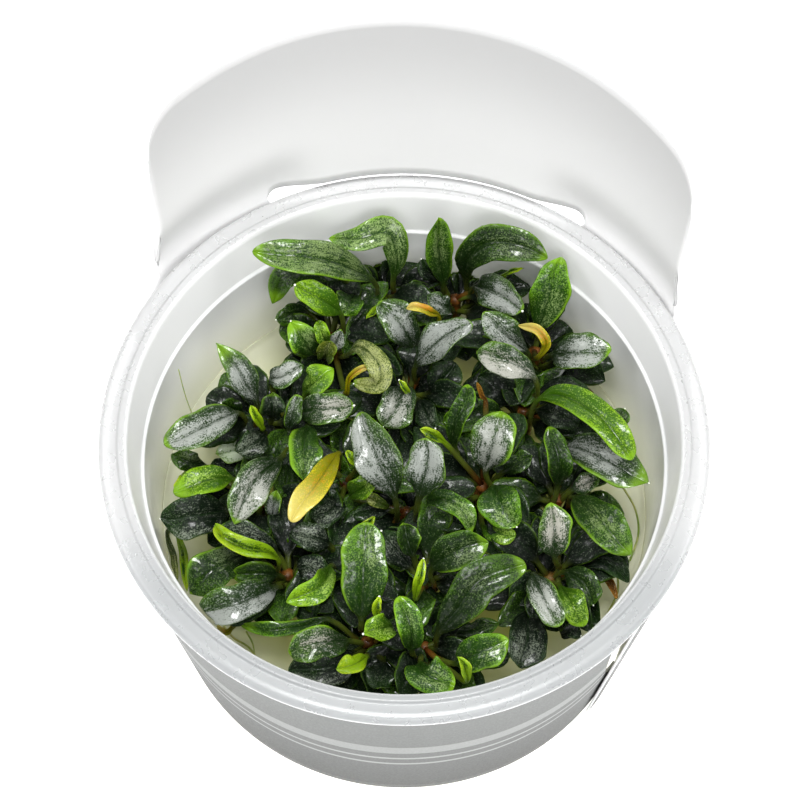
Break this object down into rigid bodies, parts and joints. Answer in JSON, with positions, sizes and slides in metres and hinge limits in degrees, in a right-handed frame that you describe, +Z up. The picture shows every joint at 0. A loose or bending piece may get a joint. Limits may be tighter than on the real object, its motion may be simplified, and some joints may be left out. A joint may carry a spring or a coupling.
{
  "type": "aquarium plant",
  "caption": "Bucephalandra plantlets growing in nutrient gel, in an open translucent tissue-culture cup with a card sleeve and raised back panel.",
  "frame": {"origin": "middle of the cup's flat base, on the cup's axis, where the cup stands", "axes": "+Z up along the cup's axis, -Y the front, +Y towards the sleeve's raised panel, +X to the right seen from the front"},
  "size_m": [0.1, 0.1047, 0.0963],
  "materials": {
    "card": "smooth printed card, grey outside and white inside",
    "gel": "wet translucent nutrient gel",
    "leaf_bright": "satin light green leaf",
    "leaf_deep": "satin dark green leaf",
    "leaf_lime": "young lime leaf",
    "leaf_mid": "satin green leaf",
    "leaf_olive": "olive leaf",
    "leaf_silver": "satin leaf with a silver sheen",
    "leaf_yellow": "yellowed leaf",
    "plastic": "clear satin moulded plastic",
    "stem": "reddish brown plant stem with green low leaves"
  },
  "bodies": {
    "root": {"back_left_leaf_1": "leaf_mid", "back_left_leaf_2": "leaf_mid", "back_left_stem": "stem", "back_right_leaf_1": "leaf_mid", "back_right_leaf_2": "leaf_deep", "back_right_leaf_3": "leaf_silver", "back_right_stem": "stem", "centre_back_leaf_1": "leaf_silver", "centre_back_leaf_2": "leaf_silver", "centre_back_stem": "stem", "centre_leaf_1": "leaf_silver", "centre_leaf_2": "leaf_silver", "centre_right_leaf_1": "leaf_silver", "centre_right_leaf_2": "leaf_mid", "centre_right_stem": "stem", "centre_stem": "stem", "cup": "plastic", "front_centre_leaf_1": "leaf_mid", "front_centre_leaf_2": "leaf_lime", "front_centre_stem": "stem", "front_leaf_1": "leaf_deep", "front_leaf_2": "leaf_mid", "front_leaf_3": "leaf_mid", "front_left_leaf_1": "leaf_lime", "front_left_leaf_2": "leaf_silver", "front_left_stem": "stem", "front_middle_leaf_1": "leaf_deep", "front_middle_stem": "stem", "front_right_leaf_1": "leaf_silver", "front_right_leaf_2": "leaf_silver", "front_right_stem": "stem", "front_stem": "stem", "inner_left_leaf_1": "leaf_yellow", "inner_left_stem": "stem", "left_inner_leaf_1": "leaf_silver", "left_inner_leaf_2": "leaf_mid", "left_inner_leaf_3": "leaf_silver", "left_inner_stem": "stem", "left_low_stem": "stem", "left_outer_leaf_1": "leaf_silver", "left_outer_leaf_2": "leaf_silver", "left_outer_stem": "stem", "low_left_leaf_1": "leaf_bright", "low_left_stem": "stem", "nutrient_gel": "gel", "right_high_leaf_1": "leaf_silver", "right_high_leaf_2": "leaf_mid", "right_high_leaf_3": "leaf_silver", "right_high_stem": "stem", "right_leaf_1": "leaf_silver", "right_leaf_2": "leaf_bright", "right_low_leaf_1": "leaf_silver", "right_low_leaf_2": "leaf_mid", "right_low_leaf_3": "leaf_deep", "right_low_stem": "stem", "right_stem": "stem", "sleeve": "card", "upper_left_leaf_1": "leaf_bright", "upper_left_leaf_2": "leaf_olive", "upper_left_stem": "stem"}
  },
  "joints": []
}
